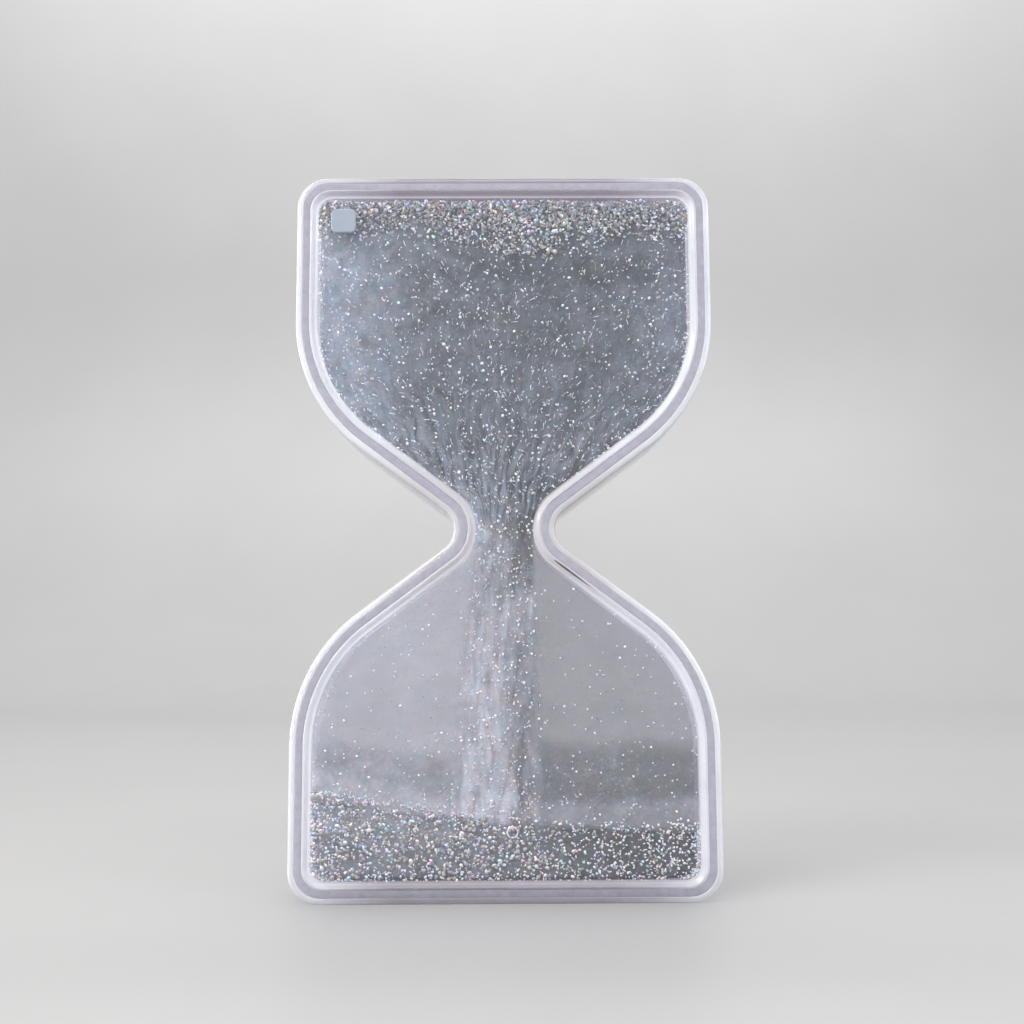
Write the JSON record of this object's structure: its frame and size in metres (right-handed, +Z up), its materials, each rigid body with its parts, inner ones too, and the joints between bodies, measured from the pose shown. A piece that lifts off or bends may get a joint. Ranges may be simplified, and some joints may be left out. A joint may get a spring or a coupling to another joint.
{
  "type": "flat liquid hourglass",
  "caption": "Flat clear-plastic hourglass timer, sealed and liquid-filled, with glitter sinking through a narrow waist.",
  "frame": {"origin": "middle of the flat base that it stands on", "axes": "+Z up the height, +Y from the front window to the back window, +X to the right seen from the front"},
  "size_m": [0.0872, 0.02, 0.15],
  "materials": {
    "clear_plastic": "clear moulded acrylic, polished, milky where it is seen edge on",
    "weld_plastic": "clear plastic melted and set, slightly whitened",
    "plug_plastic": "pale grey-blue plastic, satin",
    "clear_liquid": "clear carrier liquid with a faint haze and a few stray flakes",
    "hanging_glitter": "dense cloud of fine silver holographic flakes",
    "sinking_glitter": "sinking silver flakes",
    "packed_glitter": "coarse bright holographic flakes, packed"
  },
  "bodies": {
    "root": {"rear_tray": "clear_plastic", "front_cover": "clear_plastic", "weld_bead": "weld_plastic", "fill_plug": "plug_plastic", "carrier_liquid": "clear_liquid", "upper_glitter": "hanging_glitter", "falling_stream": "sinking_glitter", "settled_bed": "packed_glitter"}
  },
  "joints": []
}
